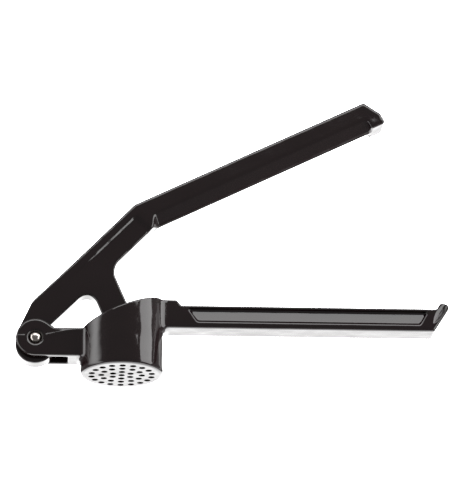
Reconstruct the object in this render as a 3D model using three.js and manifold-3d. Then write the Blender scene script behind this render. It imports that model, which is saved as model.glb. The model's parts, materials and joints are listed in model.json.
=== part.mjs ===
// A hand garlic press, lying on its side with its lever half open.
//
// Axes: X runs from the hinge along the lower handle, Y is the hopper's own axis, from the sieve to the
// mouth, and Z is up, along the hinge pin. All sizes are millimetres.
//
// The press is laid out in its own frame first: its origin is the centre of the sieve's outer face, and
// its mid-plane, which every piece is symmetrical about, is z = 0. A last step moves the whole press so
// that the origin is the middle of its bounding box at the surface that it lies on.
import * as THREE from "three";
import { mergeVertices } from "three/addons/utils/BufferGeometryUtils.js";
import Module from "manifold-3d";

const wasm = await Module();
wasm.setup();

// Hopper: a round pot with a pierced floor and a mouth cut on a slope, low at the hinge.
const HOPPER_RADIUS = 16.75;
const HOPPER_WALL = 1.6;
const FLOOR_THICKNESS = 1.8;
const FLOOR_EDGE_RADIUS = 2;
const MOUTH_HEIGHT = 24.5;
const MOUTH_SLOPE = 22;
const BORE_CORNER_RADIUS = 1.2;

// Sieve holes: one in the middle, then rings of six more each time, out to a margin inside the bore.
const HOLE_RADIUS = 1.25;
const HOLE_MARGIN = 2.97;
const HOLE_RINGS = 3;

// Hinge: two ears on the hopper, the lever's boss between them and one pin through all three.
const HINGE_OFFSET = 17.95;
const HINGE_HEIGHT = 13.7;
const HINGE = new THREE.Vector2(-HOPPER_RADIUS - HINGE_OFFSET, HINGE_HEIGHT);
const EAR_RADIUS = 7.7;
const EAR_THICKNESS = 2.8;
const SLOT_WIDTH = 7.9;
const SLOT_CLEARANCE = 3;
const ARM_TOP = 17.8;
const EAR_SHOULDER_ANGLE = 35;
const EAR_SHOULDER_ROUNDING = 3;
const PIN_RADIUS = 2.35;
const PIN_PROUD = 0.5;
const PIN_DOME = 0.8;
const COUNTERSINK_RADIUS = PIN_RADIUS + 0.75;
const COUNTERSINK_DEPTH = 0.7;

// Lower handle: a beam with a long recess in each side and an upturned lip.
const HANDLE_WIDTH = 11.74;
const LOWER_UNDERSIDE = 18.7;
const LOWER_HEIGHT = 9.35;
const LOWER_REACH = 132.2;
const TOP_FLANGE = 1.1;
const BOTTOM_FLANGE = 2.7;
const POCKET_DEPTH = 1.8;
const NECK_TOP = 30.4;
const NECK_REACH = HOPPER_RADIUS + 5.25;
const NECK_SLANT = 54;
const NECK_BORDER = 1.8;
const LIP_RISE = 2.5;
const LIP_SLANT = 57;
const LIP_THICKNESS = 4.2;
const LIP_BORDER = 2.2;
const LIP_RIM = 1.05;
const LIP_RECESS_DEPTH = 1.5;
const LIP_ROUNDING = 1.8;

// Lever: a handle with a keel along its inner side, a webbed neck that runs back to the hinge, and an arm
// into the hopper.
const NECK_ANGLE = 45.6;
const NECK_DEPTH = 12.3;
const NECK_LENGTH = 69.1;
const NECK_FLANGE = 4;
const WEB_START = 28.7;
const WEB_DEPTH = 0.9;
const WEB_RAMP = 5;
const WEB_BORDER = 1.8;
const BOSS_RADIUS = 8;
const BOSS_DROP = 2;
const HEEL_ANGLE = 20;
const HEEL_ROUNDING = 8;
const BEND_ROUNDING = 2.5;
const HANDLE_ANGLE = 26.45;
const UPPER_DEPTH = 11.8;
const UPPER_LENGTH = 110.3;
const UPPER_SIDE = 7.4;
const UPPER_LIP_LENGTH = 6.6;
const UPPER_END_RUN = 4.2;
const KEEL_WIDTH = 2;
const KEEL_START = 2.5;
const KEEL_RAMP = 4;
const ARM_ANGLE = -67;
const ARM_WIDTH = 11.2;
const ARM_LENGTH = 18.9;
const ARM_SHOULDER = 3.8;
const GAP_PLACE = HOPPER_RADIUS + 5.05;
const GAP_ARC_RADIUS = 6.3;
const ARM_FILLET = 4;

// Plunger: a disc that swivels on a small pin at the arm's end.
const CLOSED_TURN = -26;
const SWIVEL_SHARE = 0.35;
const FOOT_CLEARANCE = 1.35;
const FOOT_THICKNESS = 2;
const FOOT_DROP = 5.2;
const FOOT_EDGE = 0.6;
const LUG_THICKNESS = 2.2;
const LUG_FLARE = 1.5;
const SWIVEL_PIN_RADIUS = 1.3;
const ARM_TIP_RADIUS = SWIVEL_PIN_RADIUS + 1.5;
const LUG_RADIUS = SWIVEL_PIN_RADIUS + 1.9;
const SWIVEL_PIN_RECESS = 0.3;

// Roundings of the castings' corners, and the fillets where the arm and the handle leave the hopper.
const CORNER_ROUNDING = 1.2;
const RECESS_ROUNDING = 0.8;
const ARM_SIDE_FILLET = 3.5;
const HANDLE_SIDE_FILLET = 3;

// Clearances.
const RUNNING_GAP = 0.1;
const SIDE_GAP = 0.35;

// How finely round shapes are divided.
const ROUND = 64;
const SMALL_ROUND = 24;
const HOLE_ROUND = 12;
const OVERRUN = 1;

const blackCoating = new THREE.MeshStandardMaterial({ color: 0x1b1719, roughness: 0.22, metalness: 0.35 });
const polishedSteel = new THREE.MeshStandardMaterial({ color: 0xb9b6b2, roughness: 0.2, metalness: 1 });
const brushedSteel = new THREE.MeshStandardMaterial({ color: 0x9a9a98, roughness: 0.4, metalness: 1 });

const rad = THREE.MathUtils.degToRad;
const point = (x, y) => new THREE.Vector2(x, y);
const heading = (degrees) => point(Math.cos(rad(degrees)), Math.sin(rad(degrees)));
const leftOf = (direction) => point(-direction.y, direction.x);
const level = heading(0);
const along = (start, direction, distance) => start.clone().addScaledVector(direction, distance);

// Where the line through a, heading along u, meets the line through b, heading along v.
function crossing(a, u, b, v) {
  const gap = b.clone().sub(a);
  return along(a, u, gap.cross(v) / u.cross(v));
}

// A closed outline through corners, each { at, r }, with corner r rounded by a tangent arc.
function outline(corners) {
  const shape = new THREE.Shape();
  const steps = [];
  corners.forEach(({ at, r = 0 }, i) => {
    const before = corners[(i + corners.length - 1) % corners.length].at;
    const after = corners[(i + 1) % corners.length].at;
    if (r === 0) {
      steps.push({ to: at });
      return;
    }
    const u = before.clone().sub(at).normalize();
    const v = after.clone().sub(at).normalize();
    const half = Math.acos(THREE.MathUtils.clamp(u.dot(v), -1, 1)) / 2;
    const centre = along(at, u.clone().add(v).normalize(), r / Math.sin(half));
    const start = along(at, u, r / Math.tan(half));
    const end = along(at, v, r / Math.tan(half));
    steps.push({ to: start });
    steps.push({ centre, r, start, end, clockwise: u.cross(v) > 0 });
  });
  steps.forEach((step, i) => {
    if (step.centre) {
      const from = step.start.clone().sub(step.centre).angle();
      const to = step.end.clone().sub(step.centre).angle();
      shape.absarc(step.centre.x, step.centre.y, step.r, from, to, step.clockwise);
    } else if (i === 0) {
      shape.moveTo(step.to.x, step.to.y);
    } else {
      shape.lineTo(step.to.x, step.to.y);
    }
  });
  return shape;
}

// A closed three.js geometry as a manifold-3d solid.
function solid(geometry) {
  const bare = geometry.clone();
  bare.deleteAttribute("normal");
  bare.deleteAttribute("uv");
  const merged = mergeVertices(bare, 1e-4);
  return new wasm.Manifold(
    new wasm.Mesh({
      numProp: 3,
      vertProperties: merged.attributes.position.array,
      triVerts: new Uint32Array(merged.index.array),
    }),
  );
}

// A shape in X and Y, raised from z = low to z = high.
function slab(shape, low, high, segments = 8) {
  const geometry = new THREE.ExtrudeGeometry(shape, {
    depth: high - low,
    bevelEnabled: false,
    curveSegments: segments,
  });
  return solid(geometry.translate(0, 0, low));
}

// The same shape on both sides of the mid-plane, from z = low to z = high and its mirror.
function pairOfSlabs(shape, low, high, segments = 8) {
  return slab(shape, low, high, segments).add(slab(shape, -high, -low, segments));
}

// A round bar along Z through centre.
function bar(centre, radius, low, high, segments = SMALL_ROUND) {
  const geometry = new THREE.CylinderGeometry(radius, radius, high - low, segments);
  geometry.rotateX(Math.PI / 2);
  return solid(geometry.translate(centre.x, centre.y, (low + high) / 2));
}

// A solid of revolution about Y, from profile points [radius, height].
function turned(profile, segments = ROUND) {
  return solid(new THREE.LatheGeometry(profile.map(([x, y]) => point(x, y)), segments));
}

// Points of a quarter round from angle to angle, in degrees, for a turned profile.
function quarter(x, y, radius, from, to, steps = 5) {
  return Array.from({ length: steps + 1 }, (_, i) => {
    const direction = heading(from + ((to - from) * i) / steps);
    return [x + radius * direction.x, y + radius * direction.y];
  });
}

// A solid as a named mesh.
function piece(name, body, material) {
  const { numProp, vertProperties, triVerts } = body.getMesh();
  const positions = new Float32Array((vertProperties.length / numProp) * 3);
  for (let i = 0; i < positions.length / 3; i += 1) {
    positions.set(vertProperties.subarray(i * numProp, i * numProp + 3), i * 3);
  }
  const geometry = new THREE.BufferGeometry();
  geometry.setAttribute("position", new THREE.BufferAttribute(positions, 3));
  geometry.setIndex(new THREE.BufferAttribute(triVerts, 1));
  geometry.computeVertexNormals();
  const mesh = new THREE.Mesh(geometry, material);
  mesh.name = name;
  return mesh;
}

// ---------------------------------------------------------------- body casting

const boreRadius = HOPPER_RADIUS - HOPPER_WALL;
const holeRingStep = (boreRadius - HOLE_MARGIN) / HOLE_RINGS;
const mouthSlope = Math.tan(rad(MOUTH_SLOPE));
const mouthAt = (x) => MOUTH_HEIGHT + mouthSlope * x;
const rimTop = mouthAt(HOPPER_RADIUS);
const slotHalf = SLOT_WIDTH / 2;
const earHalf = slotHalf + EAR_THICKNESS;
const handleHalf = HANDLE_WIDTH / 2;

function hopperShell() {
  const pot = turned([
    [0, 0],
    ...quarter(HOPPER_RADIUS - FLOOR_EDGE_RADIUS, FLOOR_EDGE_RADIUS, FLOOR_EDGE_RADIUS, -90, 0),
    [HOPPER_RADIUS, rimTop + OVERRUN],
    [0, rimTop + OVERRUN],
  ]);
  return pot.subtract(aboveMouth(HOPPER_RADIUS + OVERRUN));
}

// Everything above the sloping mouth, within reach of the hopper's axis.
function aboveMouth(reach) {
  const shape = outline([
    { at: point(-reach, mouthAt(-reach)) },
    { at: point(reach, mouthAt(reach)) },
    { at: point(reach, rimTop + 2 * reach) },
    { at: point(-reach, rimTop + 2 * reach) },
  ]);
  return slab(shape, -reach, reach);
}

function hopperBore() {
  const low = FLOOR_THICKNESS;
  return turned([
    [0, low],
    ...quarter(boreRadius - BORE_CORNER_RADIUS, low + BORE_CORNER_RADIUS, BORE_CORNER_RADIUS, -90, 0, 4),
    [boreRadius, rimTop + 2 * OVERRUN],
    [0, rimTop + 2 * OVERRUN],
  ]);
}

function sieveHoles() {
  const centres = [point(0, 0)];
  for (let ring = 1; ring <= HOLE_RINGS; ring += 1) {
    for (let i = 0; i < 6 * ring; i += 1) {
      centres.push(heading(90 + (i * 60) / ring).multiplyScalar(ring * holeRingStep));
    }
  }
  const holes = centres.map(({ x, y }) => {
    const height = FLOOR_THICKNESS + 2 * OVERRUN;
    const geometry = new THREE.CylinderGeometry(HOLE_RADIUS, HOLE_RADIUS, height, HOLE_ROUND);
    return solid(geometry.translate(x, FLOOR_THICKNESS / 2, y));
  });
  return holes.reduce((all, hole) => all.add(hole));
}

// The arm that carries the ears: round about the hinge, a shoulder, then straight into the hopper.
function armOutline() {
  const root = -boreRadius;
  const shoulder = heading(-EAR_SHOULDER_ANGLE);
  const tangent = along(HINGE, leftOf(shoulder), EAR_RADIUS);
  const dip = crossing(tangent, shoulder, point(0, ARM_TOP), level);
  return outline([
    { at: point(root, HINGE.y - EAR_RADIUS) },
    { at: point(root, ARM_TOP) },
    { at: dip, r: EAR_SHOULDER_ROUNDING },
    { at: tangent },
    { at: HINGE },
    { at: point(HINGE.x, HINGE.y - EAR_RADIUS) },
  ]);
}

function arms() {
  const arm = slab(armOutline(), -earHalf, earHalf);
  return arm.add(bar(HINGE, EAR_RADIUS, -earHalf, earHalf, ROUND));
}

// The slot that the lever's boss turns in, with a square end.
function hingeSlot() {
  const left = HINGE.x - EAR_RADIUS - OVERRUN;
  const right = HINGE.x + BOSS_RADIUS + BOSS_DROP + SLOT_CLEARANCE;
  const shape = outline([
    { at: point(left, HINGE.y - EAR_RADIUS - OVERRUN) },
    { at: point(right, HINGE.y - EAR_RADIUS - OVERRUN) },
    { at: point(right, HINGE.y + 2 * EAR_RADIUS) },
    { at: point(left, HINGE.y + 2 * EAR_RADIUS) },
  ]);
  return slab(shape, -slotHalf, slotHalf);
}

// The pin's hole through both ears, opened out by a cone at each outer face.
function pinHole() {
  const radius = PIN_RADIUS + RUNNING_GAP;
  const cone = turned(
    [
      [0, earHalf - COUNTERSINK_DEPTH],
      [radius, earHalf - COUNTERSINK_DEPTH],
      [COUNTERSINK_RADIUS, earHalf],
      [COUNTERSINK_RADIUS, earHalf + OVERRUN],
      [0, earHalf + OVERRUN],
    ],
    SMALL_ROUND,
  );
  const mouth = cone.rotate([90, 0, 0]).translate([HINGE.x, HINGE.y, 0]);
  const through = bar(HINGE, radius, -earHalf - OVERRUN, earHalf + OVERRUN);
  return through.add(mouth).add(mouth.mirror([0, 0, 1]));
}

const lowerTop = LOWER_UNDERSIDE + LOWER_HEIGHT;
const lipDirection = heading(LIP_SLANT);
const lipOuter = crossing(point(LOWER_REACH, lowerTop), lipDirection, point(0, LOWER_UNDERSIDE), level);

// The neck, beam and lip of the lower handle, seen from the side.
function lowerHandleOutline() {
  const neckSlant = heading(-NECK_SLANT);
  const neckCorner = point(NECK_REACH, NECK_TOP);
  const lipInner = along(lipOuter, leftOf(lipDirection), LIP_THICKNESS);
  const lipTop = point(0, lowerTop + LIP_RISE);
  return outline([
    { at: point(boreRadius, LOWER_UNDERSIDE) },
    { at: lipOuter, r: CORNER_ROUNDING },
    { at: crossing(lipOuter, lipDirection, lipTop, level), r: LIP_ROUNDING },
    { at: crossing(lipInner, lipDirection, lipTop, level), r: CORNER_ROUNDING },
    { at: crossing(lipInner, lipDirection, point(0, lowerTop), level) },
    { at: crossing(neckCorner, neckSlant, point(0, lowerTop), level), r: CORNER_ROUNDING },
    { at: neckCorner, r: CORNER_ROUNDING },
    { at: point(boreRadius, NECK_TOP) },
  ]);
}

// The long recess in each side of the lower handle, between its flanges.
function sideRecess() {
  const top = point(0, lowerTop - TOP_FLANGE);
  const low = point(0, LOWER_UNDERSIDE + BOTTOM_FLANGE);
  const start = point(NECK_REACH + NECK_BORDER, NECK_TOP);
  const neckSlant = heading(-NECK_SLANT);
  const end = along(lipOuter, leftOf(lipDirection), LIP_THICKNESS + LIP_BORDER);
  const shape = outline([
    { at: crossing(start, neckSlant, low, level), r: CORNER_ROUNDING },
    { at: crossing(end, lipDirection, low, level), r: RECESS_ROUNDING },
    { at: crossing(end, lipDirection, top, level), r: RECESS_ROUNDING },
    { at: crossing(start, neckSlant, top, level), r: RECESS_ROUNDING },
  ]);
  return pairOfSlabs(shape, handleHalf - POCKET_DEPTH, handleHalf + OVERRUN, 4);
}

// The small recess in each side of the lip.
function lipRecess() {
  const outer = along(lipOuter, leftOf(lipDirection), LIP_RIM);
  const inner = along(lipOuter, leftOf(lipDirection), LIP_THICKNESS - LIP_RIM);
  const low = point(0, LOWER_UNDERSIDE + BOTTOM_FLANGE);
  const high = point(0, lowerTop + LIP_RISE - 2 * LIP_RIM);
  const shape = outline([
    { at: crossing(outer, lipDirection, low, level), r: RECESS_ROUNDING },
    { at: crossing(outer, lipDirection, high, level), r: RECESS_ROUNDING },
    { at: crossing(inner, lipDirection, high, level), r: RECESS_ROUNDING },
    { at: crossing(inner, lipDirection, low, level), r: RECESS_ROUNDING },
  ]);
  return pairOfSlabs(shape, handleHalf - LIP_RECESS_DEPTH, handleHalf + OVERRUN, 4);
}

// The upright fillets that fill the corners between the hopper and the flat sides at z = side and its
// mirror. sense is -1 at the hinge and 1 at the handle.
function uprightFillets(side, radius, sense, low, high) {
  const away = HOPPER_RADIUS + radius;
  const centre = point(sense * Math.sqrt(away ** 2 - (side + radius) ** 2), side + radius);
  const touch = centre.clone().multiplyScalar(HOPPER_RADIUS / away);
  const to = Math.atan2(touch.y - centre.y, touch.x - centre.x);
  const shape = new THREE.Shape();
  shape.moveTo(centre.x, side - OVERRUN);
  shape.lineTo(centre.x, side);
  shape.absarc(centre.x, centre.y, radius, -Math.PI / 2, to, sense > 0);
  shape.lineTo(sense * boreRadius, side - OVERRUN);
  const geometry = new THREE.ExtrudeGeometry(shape, {
    depth: high - low,
    bevelEnabled: false,
    curveSegments: 6,
  });
  geometry.rotateX(Math.PI / 2);
  const one = solid(geometry.translate(0, high, 0));
  return one.add(one.mirror([0, 0, 1]));
}

function bodyCasting() {
  const lowerHandle = slab(lowerHandleOutline(), -handleHalf, handleHalf);
  const outside = hopperShell()
    .add(arms())
    .add(lowerHandle)
    .add(uprightFillets(earHalf, ARM_SIDE_FILLET, -1, HINGE.y - EAR_RADIUS, ARM_TOP))
    .add(uprightFillets(handleHalf, HANDLE_SIDE_FILLET, 1, LOWER_UNDERSIDE, NECK_TOP));
  return outside
    .subtract(hopperBore())
    .subtract(sieveHoles())
    .subtract(hingeSlot())
    .subtract(pinHole())
    .subtract(sideRecess())
    .subtract(lipRecess());
}

// ---------------------------------------------------------------- lever casting

const neckDirection = heading(NECK_ANGLE);
const neckLeft = leftOf(neckDirection);
const handleDirection = heading(HANDLE_ANGLE);
const armDirection = heading(ARM_ANGLE);
const bossHalf = slotHalf - SIDE_GAP;
const webEnd = NECK_LENGTH - WEB_BORDER;

// A point of the neck: s along it from the hinge, t across it towards its back.
const neckPoint = (s, t) => along(along(HINGE, neckDirection, s), neckLeft, t);
const bend = neckPoint(NECK_LENGTH, NECK_DEPTH);
// A point of the upper handle: s along it from the bend, t across it, negative towards the lower handle.
const handlePoint = (s, t) => along(along(bend, handleDirection, s), leftOf(handleDirection), t);

const innerBend = crossing(HINGE, neckDirection, handlePoint(0, -UPPER_DEPTH), handleDirection);

// The arm hangs from the neck's inner edge, tangent to the arc that rounds the gap between them.
const gapCentre = neckPoint(GAP_PLACE, -GAP_ARC_RADIUS);
const acrossArm = leftOf(armDirection);
const armLine = along(gapCentre, acrossArm, GAP_ARC_RADIUS + ARM_WIDTH / 2);
const armRoot = crossing(armLine, armDirection, HINGE, neckDirection);
const swivel = along(armRoot, armDirection, ARM_LENGTH);

// A prism whose profile, in a distance along across and z, is swept from start to its right by length.
function sweep(profile, start, across, length) {
  const shape = new THREE.Shape(profile.map(([distance, z]) => point(distance, z)));
  const geometry = new THREE.ExtrudeGeometry(shape, { depth: length, bevelEnabled: false });
  const frame = new THREE.Matrix4().makeBasis(
    new THREE.Vector3(across.x, across.y, 0),
    new THREE.Vector3(0, 0, 1),
    new THREE.Vector3(across.y, -across.x, 0),
  );
  frame.setPosition(start.x, start.y, 0);
  return solid(geometry.applyMatrix4(frame));
}

// The lever's outline without its boss and its arm: inner edge, end, back, bend and heel.
function leverOutline() {
  const heel = heading(NECK_ANGLE + HEEL_ANGLE);
  const heelSide = along(HINGE, leftOf(heel), BOSS_RADIUS);
  return outline([
    { at: HINGE },
    { at: innerBend },
    { at: handlePoint(UPPER_LENGTH, -UPPER_DEPTH), r: CORNER_ROUNDING },
    { at: handlePoint(UPPER_LENGTH, -UPPER_SIDE), r: CORNER_ROUNDING },
    { at: handlePoint(UPPER_LENGTH - UPPER_END_RUN, 0), r: CORNER_ROUNDING },
    { at: bend, r: BEND_ROUNDING },
    { at: crossing(heelSide, heel, neckPoint(0, NECK_DEPTH), neckDirection), r: HEEL_ROUNDING },
    { at: heelSide },
  ]);
}

// Everything of the lever that lies between profile, given as points (s, half width), and its mirror.
function betweenWidths(profile) {
  const far = profile.map(([s, z]) => [s, -z]);
  const start = along(HINGE, neckLeft, 2 * NECK_DEPTH);
  return sweep([...far, ...profile.toReversed()], start, neckDirection, 2 * NECK_DEPTH + UPPER_LENGTH);
}

// Half the neck's width at s: the boss's up to the web, then growing to the handle's at the bend.
function neckHalf(s) {
  const share = THREE.MathUtils.clamp((s - WEB_START) / (NECK_LENGTH - WEB_START), 0, 1);
  return THREE.MathUtils.lerp(bossHalf, handleHalf, share);
}

// The lever's width from end to end.
function leverWidths() {
  return betweenWidths([
    [-2 * BOSS_RADIUS, bossHalf],
    [WEB_START, bossHalf],
    [NECK_LENGTH, handleHalf],
    [NECK_LENGTH + UPPER_LENGTH, handleHalf],
  ]);
}

// The width of the neck's web and of the arm: level from the boss until it's WEB_DEPTH below the flange,
// then up to the handle's at the bend.
function webWidths() {
  const rise = (handleHalf - bossHalf) / (NECK_LENGTH - WEB_START);
  return betweenWidths([
    [-2 * BOSS_RADIUS, bossHalf],
    [WEB_START + WEB_DEPTH / rise, bossHalf],
    [webEnd - WEB_RAMP, neckHalf(webEnd - WEB_RAMP) - WEB_DEPTH],
    [webEnd, neckHalf(webEnd)],
    [NECK_LENGTH + UPPER_LENGTH, handleHalf],
  ]);
}

// The shallow recess in each side of the neck, which leaves its web and its back flange.
function neckRecess() {
  const profile = [
    [-BOSS_RADIUS, handleHalf + OVERRUN],
    [-BOSS_RADIUS, -handleHalf - OVERRUN],
    [webEnd, -handleHalf - OVERRUN],
    [webEnd, handleHalf + OVERRUN],
  ];
  const start = along(HINGE, neckLeft, NECK_DEPTH - NECK_FLANGE);
  return sweep(profile, start, neckDirection, 2 * NECK_DEPTH).subtract(webWidths());
}

// What is cut from each side of the upper handle to leave its keel, running out before the bend.
function keelSides() {
  const end = UPPER_LENGTH - UPPER_LIP_LENGTH;
  const keelHalf = KEEL_WIDTH / 2;
  const outside = handleHalf + OVERRUN;
  const section = [
    [-UPPER_SIDE, handleHalf],
    [-UPPER_SIDE, outside],
    [-UPPER_DEPTH - OVERRUN, outside],
    [-UPPER_DEPTH - OVERRUN, keelHalf],
    [-UPPER_DEPTH, keelHalf],
  ];
  const runOut = [
    [KEEL_START, handleHalf],
    [KEEL_START + KEEL_RAMP, 0],
    [end, 0],
    [end, outside],
    [KEEL_START, outside],
  ];
  const back = handlePoint(0, -UPPER_SIDE + OVERRUN);
  const oneSide = sweep(section, bend, leftOf(handleDirection), UPPER_LENGTH)
    .intersect(sweep(runOut, back, handleDirection, UPPER_DEPTH));
  return oneSide.add(oneSide.mirror([0, 0, 1]));
}

// The arm that reaches into the hopper, narrowing to a round end about the swivel.
function plungerArm() {
  const half = ARM_WIDTH / 2;
  const at = (distance, across) => along(along(armRoot, armDirection, distance), acrossArm, across);
  const blade = outline([
    { at: at(-OVERRUN, -half) },
    { at: at(ARM_LENGTH - ARM_SHOULDER, -half), r: CORNER_ROUNDING },
    { at: at(ARM_LENGTH, -ARM_TIP_RADIUS) },
    { at: at(ARM_LENGTH, ARM_TIP_RADIUS) },
    { at: at(ARM_LENGTH - ARM_SHOULDER, half), r: CORNER_ROUNDING },
    { at: at(-OVERRUN, half) },
  ]);
  return slab(blade, -bossHalf, bossHalf, 5).add(bar(swivel, ARM_TIP_RADIUS, -bossHalf, bossHalf));
}

// The two rounded corners where the arm leaves the neck's inner edge.
function armCorners() {
  const corner = (side, radius) => {
    const edge = along(armRoot, acrossArm, (side * ARM_WIDTH) / 2);
    const meet = crossing(edge, armDirection, HINGE, neckDirection);
    const inward = neckDirection.clone().multiplyScalar(side);
    const opening = Math.acos(THREE.MathUtils.clamp(inward.dot(armDirection), -1, 1));
    const reach = radius / Math.tan(opening / 2);
    const onNeck = along(meet, inward, reach);
    const onArm = along(meet, armDirection, reach);
    const bisector = inward.clone().add(armDirection).normalize();
    const middle = along(meet, bisector, radius / Math.sin(opening / 2));
    const from = onNeck.clone().sub(middle).angle();
    const to = onArm.clone().sub(middle).angle();
    const inside = along(meet, bisector, -OVERRUN);
    const sunk = along(onNeck, neckLeft, OVERRUN);
    const shape = new THREE.Shape();
    shape.moveTo(inside.x, inside.y);
    shape.lineTo(sunk.x, sunk.y);
    shape.lineTo(onNeck.x, onNeck.y);
    shape.absarc(middle.x, middle.y, radius, from, to, side < 0);
    return slab(shape, -bossHalf, bossHalf, 10);
  };
  return corner(-1, GAP_ARC_RADIUS).add(corner(1, ARM_FILLET));
}

// The boss about the pin, and its fuller lower part, BOSS_DROP below the pin.
function boss() {
  const lower = bar(point(HINGE.x, HINGE.y - BOSS_DROP), BOSS_RADIUS, -bossHalf, bossHalf, ROUND);
  return bar(HINGE, BOSS_RADIUS, -bossHalf, bossHalf, ROUND).add(lower);
}

function leverCasting() {
  const through = 2 * handleHalf;
  return slab(leverOutline(), -handleHalf, handleHalf)
    .add(boss())
    .intersect(leverWidths())
    .subtract(neckRecess())
    .subtract(keelSides())
    .add(plungerArm().add(armCorners()).intersect(webWidths()))
    .subtract(bar(HINGE, PIN_RADIUS + RUNNING_GAP, -through, through))
    .subtract(bar(swivel, SWIVEL_PIN_RADIUS + RUNNING_GAP, -through, through));
}

// ---------------------------------------------------------------- pins and plunger

// A straight pin along Z with a domed end at each side.
function hingePin() {
  const half = earHalf + PIN_PROUD;
  const sphere = (PIN_RADIUS ** 2 + PIN_DOME ** 2) / (2 * PIN_DOME);
  const spread = THREE.MathUtils.radToDeg(Math.asin(PIN_RADIUS / sphere));
  const dome = quarter(0, half - sphere, sphere, 90 - spread, 90, 4);
  dome[dome.length - 1][0] = 0;
  const foot = dome.map(([x, y]) => [x, -y]).reverse();
  return turned([...foot, ...dome], SMALL_ROUND).rotate([90, 0, 0]);
}

function swivelPin(half) {
  return bar(point(0, 0), SWIVEL_PIN_RADIUS, -half, half);
}

const lugOuter = slotHalf + LUG_THICKNESS;
const footRadius = boreRadius - FOOT_CLEARANCE;

// The plunger's disc and the two lugs that straddle the arm; its origin is the swivel's axis.
function plungerFoot() {
  const top = FOOT_THICKNESS - FOOT_DROP;
  const disc = turned([
    [0, -FOOT_DROP],
    [footRadius - FOOT_EDGE, -FOOT_DROP],
    [footRadius, FOOT_EDGE - FOOT_DROP],
    [footRadius, top],
    [0, top],
  ]);
  const base = outline([
    { at: point(-LUG_RADIUS - LUG_FLARE, top - FOOT_THICKNESS / 2) },
    { at: point(LUG_RADIUS + LUG_FLARE, top - FOOT_THICKNESS / 2) },
    { at: point(LUG_RADIUS + LUG_FLARE, top) },
    { at: point(LUG_RADIUS, 0) },
    { at: point(-LUG_RADIUS, 0) },
    { at: point(-LUG_RADIUS - LUG_FLARE, top) },
  ]);
  const eye = bar(point(0, 0), LUG_RADIUS, slotHalf, lugOuter);
  const lugs = pairOfSlabs(base, slotHalf, lugOuter).add(eye).add(eye.mirror([0, 0, 1]));
  const hole = bar(point(0, 0), SWIVEL_PIN_RADIUS + RUNNING_GAP, -lugOuter - OVERRUN, lugOuter + OVERRUN);
  return disc.add(lugs).subtract(hole);
}

// ---------------------------------------------------------------- assembly

const press = new THREE.Group();
press.add(piece("press_body", bodyCasting(), blackCoating));
press.add(piece("press_lever", leverCasting(), blackCoating));

const hingePinMesh = piece("hinge_pin", hingePin(), polishedSteel);
hingePinMesh.position.set(HINGE.x, HINGE.y, 0);
press.add(hingePinMesh);

// The plunger hangs from the arm's end. It lies flat on the sieve when the lever is closed, and leans by
// what its swivel doesn't take back as the lever opens.
const plunger = new THREE.Group();
plunger.position.set(swivel.x, swivel.y, 0);
plunger.rotation.z = rad(-CLOSED_TURN * (1 - SWIVEL_SHARE));
plunger.add(piece("plunger_foot", plungerFoot(), brushedSteel));
plunger.add(piece("plunger_pin", swivelPin(lugOuter - SWIVEL_PIN_RECESS), polishedSteel));
press.add(plunger);

const garlicPress = new THREE.Group();
garlicPress.add(press);
garlicPress.updateMatrixWorld(true);
const extent = new THREE.Box3().setFromObject(garlicPress, true);
press.position.set(-(extent.min.x + extent.max.x) / 2, -(extent.min.y + extent.max.y) / 2, -extent.min.z);

export default garlicPress;
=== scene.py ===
import json
import math

import bmesh
import bpy
import numpy as np
from bpy.props import FloatProperty, FloatVectorProperty, PointerProperty, StringProperty
from mathutils import Matrix, Vector


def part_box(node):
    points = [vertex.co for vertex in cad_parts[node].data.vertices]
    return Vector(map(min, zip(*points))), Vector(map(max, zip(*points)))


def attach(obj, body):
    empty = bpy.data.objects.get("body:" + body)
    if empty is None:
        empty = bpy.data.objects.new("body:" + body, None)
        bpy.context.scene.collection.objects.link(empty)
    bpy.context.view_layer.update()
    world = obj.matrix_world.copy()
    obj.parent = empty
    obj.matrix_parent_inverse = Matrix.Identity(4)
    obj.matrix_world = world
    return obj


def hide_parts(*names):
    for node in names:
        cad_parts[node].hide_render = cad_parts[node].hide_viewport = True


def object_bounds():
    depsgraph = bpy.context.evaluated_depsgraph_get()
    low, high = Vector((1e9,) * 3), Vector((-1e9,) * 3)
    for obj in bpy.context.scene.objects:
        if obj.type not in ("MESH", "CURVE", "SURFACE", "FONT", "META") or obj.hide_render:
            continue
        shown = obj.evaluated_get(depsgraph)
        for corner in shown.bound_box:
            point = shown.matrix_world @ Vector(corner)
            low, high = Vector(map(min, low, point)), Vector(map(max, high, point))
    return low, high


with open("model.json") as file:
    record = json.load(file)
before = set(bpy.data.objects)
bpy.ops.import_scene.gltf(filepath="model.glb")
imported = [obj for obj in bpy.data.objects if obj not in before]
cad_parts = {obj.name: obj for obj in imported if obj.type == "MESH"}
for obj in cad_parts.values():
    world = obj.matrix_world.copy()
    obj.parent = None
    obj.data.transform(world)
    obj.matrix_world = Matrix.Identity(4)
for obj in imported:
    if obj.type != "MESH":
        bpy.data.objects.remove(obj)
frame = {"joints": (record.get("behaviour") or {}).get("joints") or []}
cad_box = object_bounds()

bl_info = {
    "name": "Garlic Press",
    "version": (1, 0, 0),
    "blender": (4, 5, 0),
    "location": "3D Viewport > Sidebar > Garlic Press",
    "description": "Builds the castings, pins and plunger of a hand garlic press round its frame",
    "category": "Object",
}

# The castings are worked out in the press's own millimetres: u runs along the lower handle, v from the
# sieve to the mouth, and w along the hinge pin. The zero is the middle of the sieve's outer face.
MM = 0.001

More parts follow.
